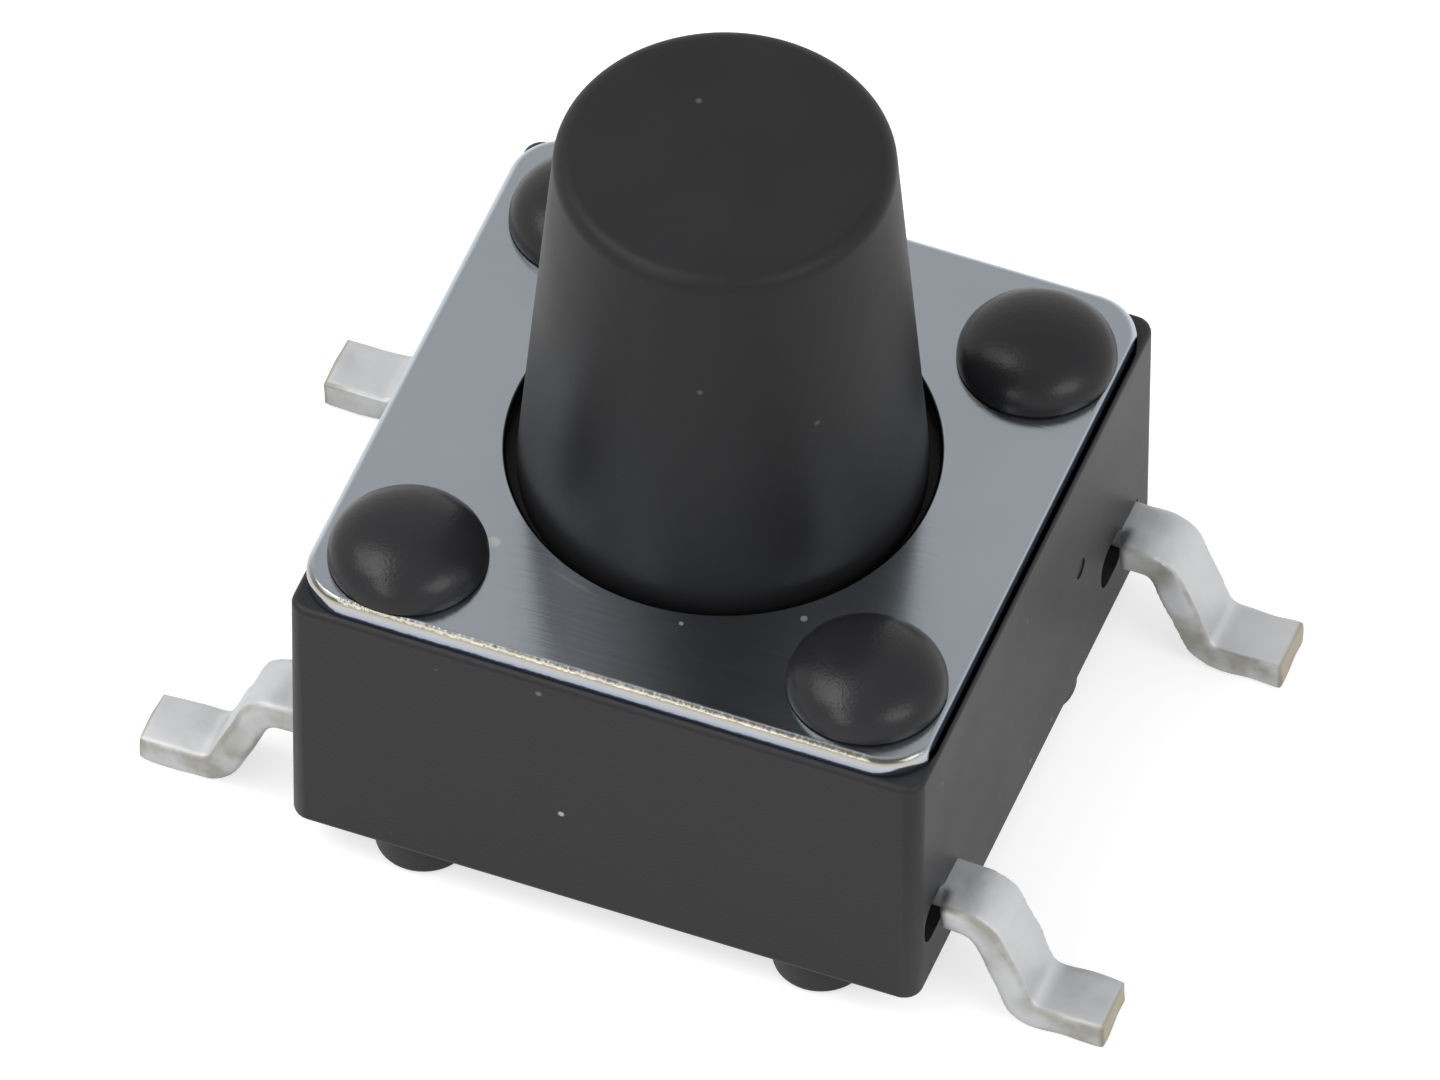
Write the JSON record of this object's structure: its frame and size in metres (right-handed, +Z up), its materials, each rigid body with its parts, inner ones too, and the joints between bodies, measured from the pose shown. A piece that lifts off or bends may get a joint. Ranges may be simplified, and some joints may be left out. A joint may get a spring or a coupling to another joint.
{
  "type": "tactile push button switch",
  "caption": "Surface-mount tactile push button: black moulded base under a steel cover, tall tapered round plunger, tinned gull-wing solder leads.",
  "frame": {"origin": "centre of the footprint on the circuit board, in the plane of the leads' undersides", "axes": "+Z up from the board along the plunger, +X from the middle towards the right pair of leads, +Y towards the rear plain side"},
  "size_m": [0.0092, 0.006, 0.0074],
  "materials": {
    "base_black": "matte moulded",
    "cover_steel": "rolled sheet",
    "plunger_black": "fine matte moulded",
    "dome_steel": "bright sheet",
    "tinned_brass": "matte tinned"
  },
  "bodies": {
    "housing": {"base": "base_black", "cover_plate": "cover_steel", "contact_dome": "dome_steel", "terminal_front": "tinned_brass", "terminal_rear": "tinned_brass"},
    "button": {"plunger": "plunger_black"}
  },
  "joints": [
    {"name": "plunger_press", "type": "slide", "parent": "housing", "child": "button", "axis": [0, 0, -1], "range_m": [0, 0.00025], "stiffness_N_per_m": 6400, "deforming": ["contact_dome"]}
  ]
}
